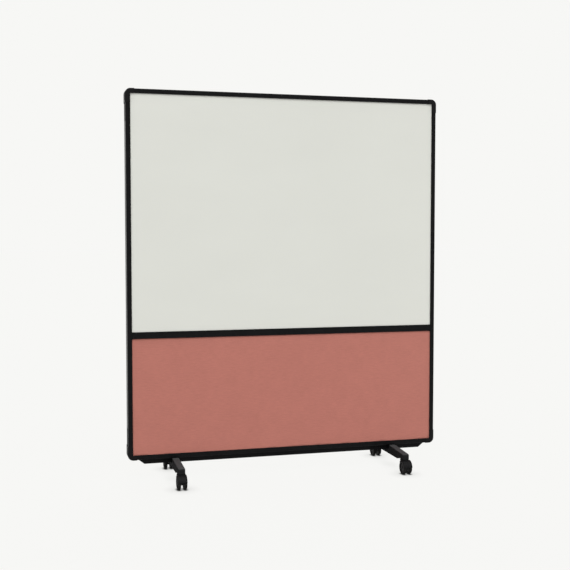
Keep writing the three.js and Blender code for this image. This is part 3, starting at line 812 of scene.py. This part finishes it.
def wheel_profile(rim, inner, outer):
    """Round the axle, (radius, place along it): dished face with a domed hub cap."""
    face = outer - RIM_INSET
    dish = rim - DISH_WIDTH
    lip = 2.3 * MM
    dome = [
        (CAP_RADIUS * math.cos(t), outer - CAP_FOOT + CAP_RISE * math.sin(t)) for t in quarter(5)
    ]
    return [
        (AXLE_BORE, inner - HUB_PAST),
        (HUB_RADIUS, inner - HUB_PAST),
        (HUB_RADIUS, inner + WHEEL_HOLLOW),
        (dish, inner + WHEEL_HOLLOW),
        (rim - RIM_BAND, inner),
        (rim, inner),
        (rim, face - RIM_EDGE),
        (rim - RIM_EDGE, face),
        (rim - lip, face),
        (rim - lip - 0.6 * MM, face - RIM_EDGE),
        (dish, outer - DISH_DEPTH),
        (dish - 2 * MM, outer - DISH_DEPTH - 0.1 * MM),
        (HUB_RADIUS + 1 * MM, outer - 3.4 * MM),
        (HUB_RADIUS, outer - 2.9 * MM),
        *dome,
        (0, outer - BORE_DEPTH),
        (AXLE_BORE, outer - BORE_DEPTH),
    ]


def tyre_profile(radius, inner, outer):
    """Round the axle: a flat tread with a small inner and a wide outer shoulder."""
    bed = radius - TYRE_DEPTH
    steps = 6
    shoulder = [
        (radius - TYRE_SHOULDER_DROP * (i / steps) ** 2, outer - TYRE_SHOULDER * (1 - i / steps))
        for i in range(steps + 1)
    ]
    return [
        (bed, inner),
        (radius - 1.2 * MM, inner),
        (radius - 0.4 * MM, inner + 0.3 * MM),
        (radius, inner + 1.2 * MM),
        *shoulder,
        (bed, outer),
    ]


def make_casters():
    body_low, body_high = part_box("caster_body_front_left")
    radius = JOINTS["roll_front_left_a"].z
    rim = radius - TYRE_DEPTH - SEAT
    body = caster_body_mesh(radius, (body_high.x - body_low.x) / 2)
    for caster in CASTERS:
        axle = JOINTS[f"roll_{caster}_a"]
        turn = Matrix.Rotation(0 if axle.y < 0 else math.pi, 4, "Z")
        mesh = placed(body, Matrix.Translation(axle) @ turn)
        piece = new_piece(f"hood_{caster}", mesh, "black_moulding", f"caster_{caster}")
        soften(piece, 0.4 * MM)
        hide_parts(f"caster_body_{caster}")
        for which in "ab":
            low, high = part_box(f"tyre_{caster}_{which}")
            outward = 1 if (low.x + high.x) / 2 > axle.x else -1
            near, far = sorted((abs(low.x - axle.x), abs(high.x - axle.x)))
            side = ALONG_X @ Matrix.Diagonal((1, 1, outward))
            wheels = f"wheels_{caster}_{which}"
            disc = lathe(wheel_profile(rim, near, far), side, axle)
            wheel = new_piece(f"disc_{caster}_{which}", disc, "wheel_nylon", wheels)
            soften(wheel, 0.15 * MM)
            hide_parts(f"wheel_{caster}_{which}")
            ring = lathe(tyre_profile(radius, near, far), side, axle, 96)
            tread = new_piece(f"tread_{caster}_{which}", ring, "tyre_rubber", wheels)
            soften(tread, 0.2 * MM)
            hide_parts(f"tyre_{caster}_{which}")


# ---------------------------------------------------------------- studio

SKY = 0.6  # strength of the world where it lights the object
CEILING = 0.25  # the backdrop's light overhead, as mirrors show it
BACKDROP_END = 0.3  # height in the sky, as a sine, where the backdrop starts to darken
FLOOR_REACH = 60  # each way
FLOOR_TONE = 0.6  # light that the floor throws back at the object
FLOOR_KEEPS = 0.05  # share of the shadow that the camera sees on the floor
CONTACTS = (  # shadows round what stands on the floor: reach, open share, darkest light
    (13 * MM, 0.5, 0.05),
    (75 * MM, 0.4, 0.75),
)
LAMPS = (  # name, elevation and azimuth in degrees, strength, width in degrees
    ("key", 50, -18, 1.42, 35),
    ("fill", 42, 38, 0.5, 50),
    ("top", 82, 0, 0.9, 60),
    ("back", 40, 165, 1.35, 60),
)


def larger(tree, a, b):
    return add(tree, "ShaderNodeMath", {0: a, 1: b}, operation="MAXIMUM").outputs[0]


def product(tree, a, b):
    return add(tree, "ShaderNodeMath", {0: a, 1: b}, operation="MULTIPLY").outputs[0]


def shown_directly(tree, rays):
    """1 for rays that show the background itself: camera, mirror and glass rays."""
    mirrored = larger(tree, rays["Is Glossy Ray"], rays["Is Transmission Ray"])
    return larger(tree, rays["Is Camera Ray"], mirrored)


def show_mix(tree, output, share, first, second):
    """Shows the first shader where share is 0 and the second where it is 1."""
    inputs = {"Fac": share, 1: first.outputs[0], 2: second.outputs[0]}
    mix = add(tree, "ShaderNodeMixShader", inputs)
    feed(tree, tree.nodes[output].inputs["Surface"], mix.outputs[0])


def make_world():
    """Even light for the object; the backdrop's colour for what looks past it."""
    world = bpy.data.worlds.new("studio")
    bpy.context.scene.world = world
    world.use_nodes = True
    tree = world.node_tree
    light = tree.nodes["Background"]
    feed(tree, light.inputs["Color"], (1, 1, 1, 1))
    feed(tree, light.inputs["Strength"], SKY)
    rays = add(tree, "ShaderNodeLightPath").outputs
    direction = add(tree, "ShaderNodeTexCoord").outputs["Generated"]
    height = add(tree, "ShaderNodeSeparateXYZ", {0: direction}).outputs["Z"]
    fade = ramp(tree, height, (BACKDROP_END, 1), (1, CEILING), "SMOOTHSTEP")
    strength = larger(tree, rays["Is Camera Ray"], fade)
    inputs = {"Color": (*BACKGROUND, 1), "Strength": strength}
    seen = add(tree, "ShaderNodeBackground", inputs)
    show_mix(tree, "World Output", shown_directly(tree, rays), light, seen)


def make_lamps():
    for name, elevation, azimuth, strength, width in LAMPS:
        data = bpy.data.lights.new(name, "SUN")
        data.energy = strength
        data.angle = math.radians(width)
        lamp = linked(name, data)
        e, a = math.radians(elevation), math.radians(azimuth)
        towards = Vector((math.sin(a) * math.cos(e), -math.cos(a) * math.cos(e), math.sin(e)))
        lamp.rotation_euler = towards.to_track_quat("Z", "Y").to_euler()


def make_floor():
    """A pale floor whose open stretches render exactly as the background behind it."""
    bm = bmesh.new()
    bmesh.ops.create_grid(bm, x_segments=1, y_segments=1, size=FLOOR_REACH)
    floor = linked("floor", mesh_from(bm, "floor"))
    received = SKY + sum(
        strength * math.sin(math.radians(elevation)) / math.pi
        for _, elevation, _, strength, _ in LAMPS
    )
    material = bpy.data.materials.new("floor")
    material.use_nodes = True
    tree = material.node_tree
    tree.nodes.remove(tree.nodes["Principled BSDF"])
    tone = shade(BACKGROUND, FLOOR_TONE / received)
    painted = add(tree, "ShaderNodeBsdfDiffuse", {"Color": (*tone, 1)})
    shadows = []
    for reach, closed, darkest in CONTACTS:
        contact = add(tree, "ShaderNodeAmbientOcclusion", {"Distance": reach})
        shadows.append(ramp(tree, contact.outputs["AO"], (closed, 1), (darkest, 1)))
    open_floor = (1 - FLOOR_KEEPS * FLOOR_TONE) / (1 - FLOOR_KEEPS)
    inputs = {
        "Color": (*shade(BACKGROUND, open_floor), 1),
        "Strength": product(tree, *shadows),
    }
    glow = add(tree, "ShaderNodeEmission", inputs)
    rays = add(tree, "ShaderNodeLightPath").outputs
    share = product(tree, shown_directly(tree, rays), 1 - FLOOR_KEEPS)
    show_mix(tree, "Material Output", share, painted, glow)
    floor.data.materials.append(material)


# ---------------------------------------------------------------- build

bpy.context.scene.view_settings.view_transform = "Standard"
make_camera()
make_world()
make_lamps()
make_floor()
dress_nodes()
stretched_fabric("front", -1)
stretched_fabric("back", 1)
make_feet()
make_casters()
